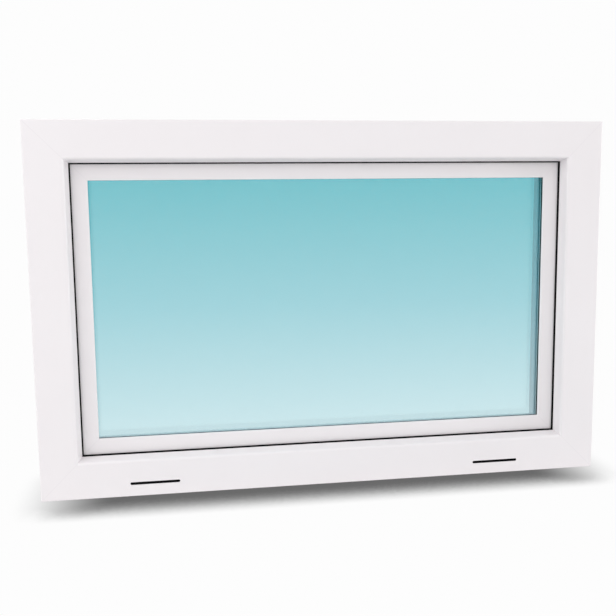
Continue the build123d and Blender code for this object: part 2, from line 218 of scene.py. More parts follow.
@dataclass(frozen=True)
class ExtrudedPlastic(Finish):
    """White PVC-U, drawn through a die and welded at the mitres.

    It gives the eye a soft satin white, faint drawing lines along each member, and a fine
    cleaned groove where two members were welded at a corner.
    """

    run: Run = Run.LEVEL
    colour: str = "#F3EFF1"
    shade_colour: str = "#EFEAEC"
    seam_colour: str = "#EAE5E8"
    roughness: float = 0.34
    gloss_spread: float = 0.05
    ior: float = 1.53
    # The drawing lines are wider than real ones, so that they show
    line_width: float = 2.6 * MM
    line_length: float = 700 * MM
    line_depth: float = 0.03 * MM
    line_detail: float = 1.0
    cloud_size: float = 160 * MM
    cloud_detail: float = 2.0
    seam_width: float = 1.0 * MM
    seam_depth: float = 0.04 * MM
    bump_strength: float = 0.6

    def line_scale(self) -> tuple[float, float, float]:
        """The drawing lines' repeats for each metre along X, Y and Z."""
        along, across = 1 / self.line_length, 1 / self.line_width
        return (along, across, across) if self.run is Run.LEVEL else (across, across, along)

    def seam(self, tree: bpy.types.NodeTree, place: bpy.types.NodeSocket) -> bpy.types.NodeSocket:
        """Adds a mask of the weld lines, which lie where both outer edges of the frame are equally far.

        Args:
            tree: The material's node tree.
            place: The socket with the place on the piece.

        Returns:
            A socket that is 1 on the seam and 0 beside it.
        """
        corner = (HALF_WIDTH, 0.0, HEIGHT / 2)
        centred = add_node(tree, "ShaderNodeVectorMath", {"operation": "SUBTRACT"},
                           {0: place, 1: (0.0, 0.0, HEIGHT / 2)})
        folded = add_node(tree, "ShaderNodeVectorMath", {"operation": "ABSOLUTE"}, {0: centred.outputs[0]})
        inset = add_node(tree, "ShaderNodeVectorMath", {"operation": "SUBTRACT"},
                         {0: corner, 1: folded.outputs[0]})
        split = add_node(tree, "ShaderNodeSeparateXYZ", inputs={0: inset.outputs[0]})
        apart = add_node(tree, "ShaderNodeMath", {"operation": "SUBTRACT"},
                         {0: split.outputs["X"], 1: split.outputs["Z"]})
        distance = add_node(tree, "ShaderNodeMath", {"operation": "ABSOLUTE"}, {0: apart.outputs[0]})
        fade = add_node(tree, "ShaderNodeMapRange", {"interpolation_type": "SMOOTHSTEP"}, {
            "Value": distance.outputs[0],
            "From Max": self.seam_width / math.sqrt(2),
            "To Min": 1.0,
            "To Max": 0.0,
        })
        return fade.outputs["Result"]

    def paint(self, tree: bpy.types.NodeTree) -> bpy.types.NodeSocket:
        """Adds the plastic's tone, drawing lines and weld seams.

        Args:
            tree: The material's node tree.

        Returns:
            The shader's socket.
        """
        place = add_node(tree, "ShaderNodeTexCoord").outputs["Object"]
        seam = self.seam(tree, place)
        _, tone = cloudy_tone(tree, place, self.cloud_size, self.cloud_detail,
                              (self.colour, self.shade_colour))
        seamed = add_node(tree, "ShaderNodeMix", {"data_type": "RGBA"}, {
            "Factor": seam, "A": tone, "B": linear(self.seam_colour),
        })
        drawn = add_node(tree, "ShaderNodeMapping", inputs={"Vector": place, "Scale": self.line_scale()})
        lines = add_node(tree, "ShaderNodeTexNoise", inputs={
            "Vector": drawn.outputs["Vector"], "Scale": 1.0, "Detail": self.line_detail,
        })
        line_bump = add_node(tree, "ShaderNodeBump", inputs={
            "Strength": self.bump_strength, "Distance": self.line_depth, "Height": lines.outputs["Fac"],
        })
        seam_bump = add_node(tree, "ShaderNodeBump", {"invert": True}, {
            "Strength": self.bump_strength, "Distance": self.seam_depth, "Height": seam,
            "Normal": line_bump.outputs["Normal"],
        })
        gloss = add_node(tree, "ShaderNodeMapRange", inputs={
            "Value": lines.outputs["Fac"],
            "To Min": self.roughness - self.gloss_spread,
            "To Max": self.roughness + self.gloss_spread,
        })
        shader = add_node(tree, "ShaderNodeBsdfPrincipled", inputs={
            "Base Color": seamed.outputs["Result"],
            "Roughness": gloss.outputs["Result"],
            "IOR": self.ior,
            "Normal": seam_bump.outputs["Normal"],
        })
        return shader.outputs["BSDF"]


@dataclass(frozen=True)
class Rubber(Finish):
    """Extruded rubber: a dull surface with a faint bloom and a fine grain."""

    colour: str = "#050507"
    bloom_colour: str = "#0B0B0E"
    roughness: float = 0.62
    ior: float = 1.52
    sheen: float = 0.05
    # The grain is coarser than a real one, so that it shows
    grain: float = 0.9 * MM
    grain_depth: float = 0.02 * MM
    grain_detail: float = 2.0
    bump_strength: float = 0.5
    bloom_size: float = 24 * MM
    bloom_detail: float = 4.0

    def paint(self, tree: bpy.types.NodeTree) -> bpy.types.NodeSocket:
        """Adds the rubber's bloom and grain.

        Args:
            tree: The material's node tree.

        Returns:
            The shader's socket.
        """
        place = add_node(tree, "ShaderNodeTexCoord").outputs["Object"]
        _, tone = cloudy_tone(tree, place, self.bloom_size, self.bloom_detail,
                              (self.colour, self.bloom_colour))
        grain = add_node(tree, "ShaderNodeTexNoise",
                         inputs={"Vector": place, "Scale": 1 / self.grain, "Detail": self.grain_detail})
        bump = add_node(tree, "ShaderNodeBump", inputs={
            "Strength": self.bump_strength, "Distance": self.grain_depth, "Height": grain.outputs["Fac"],
        })
        shader = add_node(tree, "ShaderNodeBsdfPrincipled", inputs={
            "Base Color": tone,
            "Roughness": self.roughness,
            "IOR": self.ior,
            "Specular IOR Level": self.sheen,
            "Normal": bump.outputs["Normal"],
        })
        return shader.outputs["BSDF"]


@dataclass(frozen=True)
class FloatGlass(Finish):
    """Float glass, fire-polished flat on both faces, that mirrors a little and lets lamps shine through."""

    ior: float = 1.52

    def pane(self, tree: bpy.types.NodeTree, colour: Any) -> bpy.types.NodeSocket:
        """Adds the clear shader of a pane.

        Args:
            tree: The material's node tree.
            colour: The colour that the glass lets through, or the socket that gives it.

        Returns:
            The shader's socket.
        """
        rays = add_node(tree, "ShaderNodeLightPath")
        glass = add_node(tree, "ShaderNodeBsdfPrincipled", inputs={
            "Base Color": colour,
            "Roughness": 0.0,
            "IOR": self.ior,
            "Transmission Weight": 1.0,
        })
        lamplight = add_node(tree, "ShaderNodeBsdfTransparent", inputs={"Color": colour})
        pane = add_node(tree, "ShaderNodeMixShader", inputs={
            0: rays.outputs["Is Shadow Ray"], 1: glass.outputs[0], 2: lamplight.outputs[0],
        })
        return pane.outputs[0]


@dataclass(frozen=True)
class CoatedGlass(FloatGlass):
    """Float glass with a blue-green tint, darkest at its head, whose fade up the pane is a painted sky
    reflection.

    It gives the eye a blue-green sheet that pales towards the sill as a painted reflection of the sky, with
    a crisp real reflection on top.
    """

    low: float = 0.0
    high: float = 1.0
    # The tint from sill to head; its darkening upwards is a painted sky reflection
    colours: tuple[str, ...] = ("#D5ECF5", "#9ED4E1", "#62BFCD")

    def paint(self, tree: bpy.types.NodeTree) -> bpy.types.NodeSocket:
        """Adds the tint's fade up the pane, which is a painted sky reflection.

        Args:
            tree: The material's node tree.

        Returns:
            The shader's socket.
        """
        place = add_node(tree, "ShaderNodeTexCoord").outputs["Object"]
        split = add_node(tree, "ShaderNodeSeparateXYZ", inputs={0: place})
        climb = add_node(tree, "ShaderNodeMapRange", inputs={
            "Value": split.outputs["Z"], "From Min": self.low, "From Max": self.high,
        })
        # Painted sky reflection: the tint deepens from the sill up to the head
        tint_with_painted_reflection = add_node(tree, "ShaderNodeValToRGB", inputs={"Fac": climb.outputs["Result"]})
        stops = tint_with_painted_reflection.color_ramp.elements
        last = len(self.colours) - 1
        for index in range(1, last):
            stops.new(index / last)
        for stop, colour in zip(stops, self.colours):
            stop.color = linear(colour)
        return self.pane(tree, tint_with_painted_reflection.outputs["Color"])


@dataclass(frozen=True)
class ClearGlass(FloatGlass):
    """Plain float glass: clear, with the faint green of its iron."""

    colour: str = "#F3FBF8"

    def paint(self, tree: bpy.types.NodeTree) -> bpy.types.NodeSocket:
        """Adds the glass and returns the shader's socket."""
        return self.pane(tree, linear(self.colour))


@dataclass(frozen=True)
class SpacerAluminium(Finish):
    """Mill-finish aluminium strip, rolled to a bar, with two rows of breathing slits on its open face.

    It gives the eye a pale grey metal line at the glass's edge with a fine dash of painted shade every few
    millimetres, where a slit is drawn instead of cut.
    """

    middle: float = 0.0
    colour: str = "#E6E8EA"
    # The slits are painted in the shade of the hollow behind them, not cut
    slit_colour: str = "#55585C"
    roughness: float = 0.5
    slit_pitch: float = 3.0 * MM
    slit_length: float = 1.5 * MM
    # The slits are wider than real ones, so that they show
    slit_width: float = 0.9 * MM
    row_spacing: float = 7.0 * MM

    def paint(self, tree: bpy.types.NodeTree) -> bpy.types.NodeSocket:
        """Adds the metal and its two rows of slits, drawn as painted shade.

        Args:
            tree: The material's node tree.

        Returns:
            The shader's socket.
        """
        place = add_node(tree, "ShaderNodeTexCoord").outputs["Object"]
        split = add_node(tree, "ShaderNodeSeparateXYZ", inputs={0: place})
        along = add_node(tree, "ShaderNodeMath", {"operation": "ADD"},
                         {0: split.outputs["X"], 1: split.outputs["Z"]})
        beat = add_node(tree, "ShaderNodeMath", {"operation": "PINGPONG"},
                        {0: along.outputs[0], 1: self.slit_pitch / 2})
        in_slit = add_node(tree, "ShaderNodeMath", {"operation": "LESS_THAN"},
                           {0: beat.outputs[0], 1: self.slit_length / 2})
        from_middle = add_node(tree, "ShaderNodeMath", {"operation": "SUBTRACT"},
                               {0: split.outputs["Y"], 1: self.middle})
        aside = add_node(tree, "ShaderNodeMath", {"operation": "ABSOLUTE"}, {0: from_middle.outputs[0]})
        in_row = add_node(tree, "ShaderNodeMath", {"operation": "COMPARE"},
                          {0: aside.outputs[0], 1: self.row_spacing / 2, 2: self.slit_width / 2})
        slit = add_node(tree, "ShaderNodeMath", {"operation": "MULTIPLY"},
                        {0: in_slit.outputs[0], 1: in_row.outputs[0]})
        # Painted shade in each slit, where the metal gives way
        tone = add_node(tree, "ShaderNodeMix", {"data_type": "RGBA"}, {
            "Factor": slit.outputs[0], "A": linear(self.colour), "B": linear(self.slit_colour),
        })
        shine = add_node(tree, "ShaderNodeMapRange", inputs={
            "Value": slit.outputs[0], "To Min": 1.0, "To Max": 0.0,
        })
        shader = add_node(tree, "ShaderNodeBsdfPrincipled", inputs={
            "Base Color": tone.outputs["Result"],
            "Metallic": shine.outputs["Result"],
            "Roughness": self.roughness,
        })
        return shader.outputs["BSDF"]


@dataclass(frozen=True)
class MouldedPlastic(Finish):
    """Injection-moulded plastic with a dull, slightly mottled skin."""

    colour: str = "#4A78A8"
    pale_colour: str = "#5584B2"
    roughness: float = 0.5
    ior: float = 1.49
    mottle: float = 5 * MM
    mottle_detail: float = 3.0

    def paint(self, tree: bpy.types.NodeTree) -> bpy.types.NodeSocket:
        """Adds the plastic's mottle.

        Args:
            tree: The material's node tree.

        Returns:
            The shader's socket.
        """
        place = add_node(tree, "ShaderNodeTexCoord").outputs["Object"]
        _, tone = cloudy_tone(tree, place, self.mottle, self.mottle_detail,
                              (self.colour, self.pale_colour))
        shader = add_node(tree, "ShaderNodeBsdfPrincipled", inputs={
            "Base Color": tone, "Roughness": self.roughness, "IOR": self.ior,
        })
        return shader.outputs["BSDF"]


@dataclass(frozen=True)
class PowderCoat(Finish):
    """White powder paint baked on cast metal: glossier than the plastic, with a fine orange-peel skin."""

    colour: str = "#EBEBEC"
    shade_colour: str = "#E4E4E6"
    roughness: float = 0.26
    ior: float = 1.5
    peel: float = 1.3 * MM
    peel_depth: float = 0.03 * MM
    peel_detail: float = 1.0
    bump_strength: float = 0.5

    def paint(self, tree: bpy.types.NodeTree) -> bpy.types.NodeSocket:
        """Adds the paint and its orange peel.

        Args:
            tree: The material's node tree.

        Returns:
            The shader's socket.
        """
        place = add_node(tree, "ShaderNodeTexCoord").outputs["Object"]
        peel, tone = cloudy_tone(tree, place, self.peel, self.peel_detail,
                                 (self.colour, self.shade_colour))
        bump = add_node(tree, "ShaderNodeBump", inputs={
            "Strength": self.bump_strength, "Distance": self.peel_depth, "Height": peel,
        })
        shader = add_node(tree, "ShaderNodeBsdfPrincipled", inputs={
            "Base Color": tone,
            "Roughness": self.roughness,
            "IOR": self.ior,
            "Normal": bump.outputs["Normal"],
        })
        return shader.outputs["BSDF"]


@dataclass(frozen=True)
class PlatedSteel(Finish):
    """Zinc-plated steel, cold-formed: a bluish bright metal with fine marks and an uneven gloss."""

    colour: str = "#B4B8BE"
    dull_colour: str = "#9DA1A8"
    roughness: float = 0.3
    gloss_spread: float = 0.08
    # The marks are coarser than real ones, so that they show
    mark: float = 0.5 * MM
    mark_detail: float = 2.0

    def paint(self, tree: bpy.types.NodeTree) -> bpy.types.NodeSocket:
        """Adds the plating and its marks.

        Args:
            tree: The material's node tree.

        Returns:
            The shader's socket.
        """
        place = add_node(tree, "ShaderNodeTexCoord").outputs["Object"]
        marks, tone = cloudy_tone(tree, place, self.mark, self.mark_detail,
                                  (self.colour, self.dull_colour))
        gloss = add_node(tree, "ShaderNodeMapRange", inputs={
            "Value": marks,
            "To Min": self.roughness - self.gloss_spread,
            "To Max": self.roughness + self.gloss_spread,
        })
        shader = add_node(tree, "ShaderNodeBsdfPrincipled", inputs={
            "Base Color": tone,
            "Metallic": 1.0,
            "Roughness": gloss.outputs["Result"],
        })
        return shader.outputs["BSDF"]


def deselect_all() -> None:
    """Leaves edit mode and clears the selection."""
    if bpy.context.object is not None and bpy.context.object.mode != "OBJECT":
        bpy.ops.object.mode_set(mode="OBJECT")
    bpy.ops.object.select_all(action="DESELECT")


def make_active(piece: bpy.types.Object) -> None:
    """Makes a piece the active one and the only one selected.

    Args:
        piece: The piece that the next operators act on.
    """
    deselect_all()
    piece.select_set(True)
    bpy.context.view_layer.objects.active = piece


def start_choice(choice: Choice) -> None:
    """Clears what is selected in the active piece's mesh and leaves it ready for selecting in code.

    Args:
        choice: What is selected next.
    """
    bpy.context.tool_settings.mesh_select_mode = choice.value
    bpy.ops.object.mode_set(mode="EDIT")
    bpy.ops.mesh.select_all(action="DESELECT")
    bpy.ops.object.mode_set(mode="OBJECT")


def select_faces(piece: bpy.types.Object, chosen: Callable[[bpy.types.MeshPolygon], bool]) -> None:
    """Selects some faces of the active piece and stays in edit mode.

    Args:
        piece: The active piece.
        chosen: Says of a face whether it is selected.
    """
    start_choice(Choice.FACES)
    for face in piece.data.polygons:
        face.select = chosen(face)
    bpy.ops.object.mode_set(mode="EDIT")


def select_edges(piece: bpy.types.Object, chosen: Callable[[Vector, Vector], bool]) -> None:
    """Selects some edges of the active piece and stays in edit mode.

    Args:
        piece: The active piece.
        chosen: Says of an edge, given its two ends, whether it is selected.
    """
    start_choice(Choice.EDGES)
    points = piece.data.vertices
    for edge in piece.data.edges:
        first, second = edge.vertices
        edge.select = chosen(points[first].co, points[second].co)
    bpy.ops.object.mode_set(mode="EDIT")


def apply_modifier(piece: bpy.types.Object, kind: str, settings: dict[str, Any]) -> None:
    """Adds a modifier to a piece and applies it.

    Args:
        piece: The piece that is changed.
        kind: Blender's name for the kind of modifier.
        settings: Properties of the modifier by name.
    """
    make_active(piece)
    modifier = piece.modifiers.new(kind.lower(), kind)
    for name, value in settings.items():
        setattr(modifier, name, value)
    bpy.ops.object.modifier_apply(modifier=modifier.name)


def round_edges(piece: bpy.types.Object, radius: float) -> None:
    """Rounds the sharp edges of a piece."""
    apply_modifier(piece, "BEVEL", {"width": radius, "segments": ROUND_SEGMENTS, "limit_method": "ANGLE"})


def standing_disc(sides: int, radius: float, height: float) -> bpy.types.Object:
    """Adds a disc about the Z axis that stands on Z = 0, for a fitting to be shaped from.

    Args:
        sides: How many sides stand for its round.
        radius: Its radius.
        height: Its height.

    Returns:
        The disc, which is the active piece.
    """
    deselect_all()
    bpy.ops.mesh.primitive_cylinder_add(
        vertices=sides, radius=radius, depth=height, location=(0, 0, height / 2),
    )
    bpy.ops.object.transform_apply(location=True)
    return bpy.context.object


def copy_of(piece: bpy.types.Object) -> bpy.types.Object:
    """Copies a modelled piece with its mesh.

    Args:
        piece: The piece that is copied.

    Returns:
        The copy, which has a mesh of its own.
    """
    make_active(piece)
    bpy.ops.object.duplicate(linked=False)
    return bpy.context.object


def settle(piece: bpy.types.Object, name: str, finish: Finish, place: Vector) -> None:
    """Turns a piece to the room, sets it in its place, with that place in its mesh, and dresses it.

    Args:
        piece: The modelled piece, about the origin.
        name: The piece's name.
        finish: What the piece wears.
        place: Where its origin goes.
    """
    make_active(piece)
    piece.name = name
    piece.data.name = name
    piece.rotation_euler = FACING_ROOM
    piece.location = place
    bpy.ops.object.transform_apply(location=True, rotation=True, scale=True)
    bpy.ops.object.shade_smooth_by_angle(angle=SMOOTH_ANGLE)
    finish.dress(piece)
    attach(piece, BODY)
    log.info("%s: %d faces", name, len(piece.data.polygons))


@dataclass(frozen=True)
class Wardrobe:
    """The finishes of the whole window."""

    level_plastic: ExtrudedPlastic
    upright_plastic: ExtrudedPlastic
    black_rubber: Rubber
    grey_rubber: Rubber
    coated_glass: CoatedGlass
    clear_glass: ClearGlass
    spacer: SpacerAluminium
    sealant: Rubber
    packer: MouldedPlastic
    paint: PowderCoat
    steel: PlatedSteel


def choose_finishes() -> Wardrobe:
    """Makes the finishes, with the glass's fade and the spacer's rows placed by the frame.

    Returns:
        The window's finishes.
    """
    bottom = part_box("bead_bottom")[1].z
    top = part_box("bead_top")[0].z
    cavity_low, cavity_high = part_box("spacer_bar")
    return Wardrobe(
        level_plastic=ExtrudedPlastic("pvcu_extruded_level", run=Run.LEVEL),
        upright_plastic=ExtrudedPlastic("pvcu_extruded_upright", run=Run.UPRIGHT),
        black_rubber=Rubber("epdm_rubber_black"),
        grey_rubber=Rubber("soft_pvc_seal_grey", colour="#E6E7E8", bloom_colour="#DEE0E2", roughness=0.5),
        # The tinted glass with a painted sky reflection, faded between the beads
        coated_glass=CoatedGlass("float_glass_sun_coated", low=bottom, high=top),
        clear_glass=ClearGlass("float_glass_clear"),
        spacer=SpacerAluminium("mill_aluminium_spacer", middle=(cavity_low.y + cavity_high.y) / 2),
        sealant=Rubber("polysulphide_sealant", colour="#17181A", bloom_colour="#202225", roughness=0.65),
        packer=MouldedPlastic("moulded_polypropylene"),
        paint=PowderCoat("powder_coated_zinc_casting"),
        steel=PlatedSteel("zinc_plated_steel"),
    )


@dataclass
class OuterFrame:
    """The fixed frame: sill, head and two jambs, the seal round its lip, and a baffle in each weep slot."""

    finishes: Wardrobe
    level_nodes: tuple[str, ...] = ("frame_sill", "frame_head")
    upright_nodes: tuple[str, ...] = ("frame_jamb_left", "frame_jamb_right")
    weep_length: float = 68 * MM
    weep_height: float = 4 * MM
    weep_inset: float = 119.5 * MM
    weep_level: float = 18 * MM
    baffle_depth: float = 1.6 * MM
    baffle_setback: float = 0.9 * MM
    baffle_fit: float = 0.05 * MM
    baffle_rim: float = 0.5 * MM
    baffle_dish: float = 0.4 * MM
    # The rounds of the baffle's ends as a share of its height, a little under half, so that they don't meet
    end_round: float = 0.49
    end_segments: int = 8

    def dress(self) -> None:
        """Dresses the four members and the seal."""
        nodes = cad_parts
        self.finishes.level_plastic.dress(*(nodes[name] for name in self.level_nodes))
        self.finishes.upright_plastic.dress(*(nodes[name] for name in self.upright_nodes))
        self.finishes.black_rubber.dress(nodes["frame_gasket"])
        log.info("outer frame dressed")

    def model_baffle(self) -> bpy.types.Object:
        """Models a weep slot's baffle: rounded to the slot's ends and dished outdoors.

        Returns:
            The baffle, about the origin.
        """
        length = self.weep_length - 2 * self.baffle_fit
        height = self.weep_height - 2 * self.baffle_fit
        deselect_all()
        bpy.ops.mesh.primitive_cube_add(size=1)
        baffle = bpy.context.object
        bpy.ops.object.mode_set(mode="EDIT")
        bpy.ops.transform.resize(value=(length, height, self.baffle_depth))
        select_edges(baffle, lambda first, second: abs(first.z - second.z) > self.baffle_depth / 2)
        bpy.ops.mesh.bevel(offset=self.end_round * height, segments=self.end_segments)
        select_faces(baffle, lambda face: face.normal.z < -FACING)
        bpy.ops.mesh.inset(thickness=self.baffle_rim)
        bpy.ops.transform.translate(value=(0, 0, self.baffle_dish))
        return baffle

    def fit_baffles(self) -> None:
        """Sets a baffle a little way inside each weep slot."""
        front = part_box("frame_sill")[0].y
        depth = front + self.baffle_setback + self.baffle_depth / 2
        first = self.model_baffle()
        baffles = {Hand.LEFT: first, Hand.RIGHT: copy_of(first)}
        for hand, baffle in baffles.items():
            across = hand.value * (HALF_WIDTH - self.weep_inset - self.weep_length / 2)
            settle(baffle, f"weep_baffle_{hand.side}", self.finishes.black_rubber,
                   Vector((across, depth, self.weep_level)))


@dataclass
class Sash:
    """The tilting sash: rails, stiles, glazing beads and the seal behind its flange."""

    finishes: Wardrobe
    level_nodes: tuple[str, ...] = ("sash_bottom_rail", "sash_top_rail", "bead_bottom", "bead_top")
    upright_nodes: tuple[str, ...] = ("sash_stile_left", "sash_stile_right", "bead_left", "bead_right")

    def dress(self) -> None:
        """Dresses the rails, stiles, beads and seal."""
        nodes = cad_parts
        self.finishes.level_plastic.dress(*(nodes[name] for name in self.level_nodes))
        self.finishes.upright_plastic.dress(*(nodes[name] for name in self.upright_nodes))
        self.finishes.black_rubber.dress(nodes["sash_gasket"])
        log.info("sash dressed")


@dataclass
class GlazedUnit:
    """The double-glazed unit with its seals and packers, and the butyl lines along its spacer bar."""

    finishes: Wardrobe
    spacer_height: float = 6.5 * MM
    butyl_width: float = 0.3 * MM
    butyl_reach: float = 0.15 * MM
    butyl_bed: float = 0.2 * MM
    butyl_round: float = 0.06 * MM
    glass_fit: float = 0.02 * MM

    def dress(self) -> None:
        """Dresses the panes, spacer bar, sealant, seals and packers."""
        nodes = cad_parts
        self.finishes.clear_glass.dress(nodes["outer_pane"])
        # The inner pane wears the tint with its painted sky reflection
        self.finishes.coated_glass.dress(nodes["inner_pane"])
        self.finishes.spacer.dress(nodes["spacer_bar"])
        self.finishes.sealant.dress(nodes["edge_seal"])
        self.finishes.black_rubber.dress(nodes["outer_glazing_gasket"])
        self.finishes.grey_rubber.dress(nodes["inner_glazing_gasket"])
        self.finishes.packer.dress(nodes["glazing_packer_left"], nodes["glazing_packer_right"])
        log.info("glazed unit dressed")

    def model_butyl(self) -> bpy.types.Object:
        """Models one line of butyl: a thin rectangular ring, bedded in the spacer bar's open face.

        Returns:
            The line, about the Z axis and standing on Z = 0.
        """
        low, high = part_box("spacer_bar")
        inset = self.spacer_height - self.butyl_bed
        deselect_all()
        bpy.ops.mesh.primitive_plane_add(size=1)
        line = bpy.context.object
        bpy.ops.object.mode_set(mode="EDIT")
        bpy.ops.transform.resize(value=(high.x - low.x - 2 * inset, high.z - low.z - 2 * inset, 1))
        bpy.ops.mesh.inset(thickness=self.butyl_bed + self.butyl_reach)
        bpy.ops.mesh.delete(type="FACE")
        bpy.ops.mesh.select_all(action="SELECT")
        bpy.ops.mesh.extrude_region_move(TRANSFORM_OT_translate={"value": (0, 0, self.butyl_width)})
        bpy.ops.mesh.select_all(action="SELECT")
        bpy.ops.mesh.normals_make_consistent(inside=False)
        bpy.ops.object.mode_set(mode="OBJECT")
        round_edges(line, self.butyl_round)
        return line

    def lay_butyl(self) -> None:
        """Lays a line of butyl along each side of the spacer bar, against the panes."""
        low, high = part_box("spacer_bar")
        level = (low.z + high.z) / 2
        outer = self.model_butyl()
        inner = copy_of(outer)
        settle(outer, "butyl_line_outer", self.finishes.sealant,
               Vector((0, low.y + self.glass_fit, level)))
        settle(inner, "butyl_line_inner", self.finishes.sealant,
               Vector((0, high.y - self.glass_fit - self.butyl_width, level)))


@dataclass
class Handle:
    """The lever handle: its rose with two screw caps, a collar round the neck, and the lever."""

    finishes: Wardrobe
    cap_spacing: float = 43 * MM
    cap_sides: int = 48
    cap_radius: float = 4.6 * MM
    cap_height: float = 0.6 * MM
    cap_rise: float = 0.25 * MM
    # The dome's steps, each as a share of the cap's radius
    cap_steps: tuple[float, ...] = (0.15, 0.3)
    collar_sides: int = 64
    collar_radius: float = 11.3 * MM
    collar_bore: float = 10.2 * MM
    collar_height: float = 1.6 * MM
    rim_round: float = 0.2 * MM

    def dress(self) -> None:
        """Dresses the rose and the lever."""
        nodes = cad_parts
        self.finishes.paint.dress(nodes["handle_rose"], nodes["handle_lever"])
        log.info("handle dressed")

    def model_collar(self) -> bpy.types.Object:
        """Models the collar: a disc bored through and rounded.

        Returns:
            The collar, about the Z axis and standing on Z = 0.
        """
        collar = standing_disc(self.collar_sides, self.collar_radius, self.collar_height)
        select_faces(collar, lambda face: abs(face.normal.z) > FACING)
        bpy.ops.mesh.inset(thickness=self.collar_radius - self.collar_bore)
        bpy.ops.mesh.bridge_edge_loops()
        bpy.ops.mesh.select_all(action="SELECT")
        bpy.ops.mesh.normals_make_consistent(inside=False)
        bpy.ops.object.mode_set(mode="OBJECT")
        round_edges(collar, self.rim_round)
        return collar

    def model_cap(self) -> bpy.types.Object:
        """Models a screw cap: a low dome with a rounded rim.

        Returns:
            The cap, about the Z axis and standing on Z = 0.
        """
        cap = standing_disc(self.cap_sides, self.cap_radius, self.cap_height)
        select_faces(cap, lambda face: face.normal.z > FACING)
        for share in self.cap_steps:
            bpy.ops.mesh.inset(thickness=share * self.cap_radius)
            bpy.ops.transform.translate(value=(0, 0, self.cap_rise * (1 - share)))
        bpy.ops.object.mode_set(mode="OBJECT")
        round_edges(cap, self.rim_round)
        return cap

    def fit_trim(self) -> None:
        """Sets the collar round the lever's neck and a cap over each of the rose's screws."""
        low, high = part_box("handle_rose")
        middle = Vector(((low.x + high.x) / 2, high.y, (low.z + high.z) / 2))
        settle(self.model_collar(), "handle_collar", self.finishes.paint, middle)
        first = self.model_cap()
        caps = {Hand.LEFT: first, Hand.RIGHT: copy_of(first)}
        for hand, cap in caps.items():
            place = middle + Vector((hand.value * self.cap_spacing / 2, 0, 0))
            settle(cap, f"rose_cap_{hand.side}", self.finishes.paint, place)


@dataclass(frozen=True)
class PanHead:
    """A screw's pan head with a cross recess."""

    radius: float
    height: float
    sides: int = 40
    # Shares of the radius
    crown_inset: float = 0.4
    recess_reach: float = 1.1
    recess_width: float = 0.24
    # Shares of the height
    crown_rise: float = 0.3
    crown_round: float = 0.15
    recess_depth: float = 0.6

    def model(self) -> bpy.types.Object:
        """Models the head: crowned, rounded and recessed.

        Returns:
            The head, about the Z axis and standing on Z = 0.
        """
        head = standing_disc(self.sides, self.radius, self.height)
        select_faces(head, lambda face: face.normal.z > FACING)
        bpy.ops.mesh.inset(thickness=self.crown_inset * self.radius)
        bpy.ops.transform.translate(value=(0, 0, self.crown_rise * self.height))
        bpy.ops.object.mode_set(mode="OBJECT")
        round_edges(head, self.crown_round * self.height)
        for turn in (0.0, math.pi / 2):
            self.cut_arm(head, turn)
        return head

    def cut_arm(self, head: bpy.types.Object, turn: float) -> None:
        """Cuts one arm of the cross recess with a block whose lower half is in the head.

        Args:
            head: The head that is cut.
            turn: The arm's turn about the head's axis, in radians.
        """
        deselect_all()
        top = (1 + self.crown_rise) * self.height
        bpy.ops.mesh.primitive_cube_add(size=1, location=(0, 0, top), rotation=(0, 0, turn))
        cutter = bpy.context.object
        cutter.scale = (
            self.recess_reach * self.radius,
            self.recess_width * self.radius,
            2 * self.recess_depth * self.height,
        )
        apply_modifier(head, "BOOLEAN", {"object": cutter, "operation": "DIFFERENCE", "solver": "EXACT"})
        bpy.data.objects.remove(cutter, do_unlink=True)


@dataclass
class Hinges:
    """The two hinges at the foot of the sash: leaves, pins and the screws that hold the leaves."""

    finishes: Wardrobe
    leaf_thickness: float = 3 * MM
    sash_head: PanHead = PanHead(4.2 * MM, 2.0 * MM)
    frame_head: PanHead = PanHead(2.7 * MM, 1.4 * MM)
    screw_spacing: float = 36 * MM
    sash_screw_drop: float = 12 * MM
    frame_screw_rise: float = 3.2 * MM

    def dress(self) -> None:
        """Dresses the leaves and the pins."""
        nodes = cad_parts
        for hand in Hand:
            leaves = (nodes[f"hinge_{hand.side}_frame_leaf"], nodes[f"hinge_{hand.side}_sash_leaf"])
            self.finishes.paint.dress(*leaves)
            self.finishes.steel.dress(nodes[f"hinge_{hand.side}_pin"])
        log.info("hinges dressed")

    def drive(self, leaf: str, head: PanHead, face: float, level: float) -> None:
        """Drives two screws into one kind of leaf on both hinges.

        Args:
            leaf: The kind of leaf, sash or frame.
            head: The screws' head.
            face: The depth of the leaf's face on the room side.
            level: The height of the screws.
        """
        spare = head.model()
        for hand in Hand:
            low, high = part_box(f"hinge_{hand.side}_{leaf}_leaf")
            for end in Hand:
                across = (low.x + high.x) / 2 + end.value * self.screw_spacing / 2
                settle(copy_of(spare), f"hinge_{hand.side}_{leaf}_screw_{end.side}",
                       self.finishes.steel, Vector((across, face, level)))
        bpy.data.objects.remove(spare, do_unlink=True)

    def fit_screws(self) -> None:
        """Drives the screws of the sash leaves and of the frame leaves."""
        sash_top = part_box("hinge_left_sash_leaf")[1]
        frame_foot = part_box("hinge_left_frame_leaf")[0]
        self.drive("sash", self.sash_head, sash_top.y, sash_top.z - self.sash_screw_drop)
        self.drive("frame", self.frame_head, frame_foot.y + self.leaf_thickness,
                   frame_foot.z + self.frame_screw_rise)


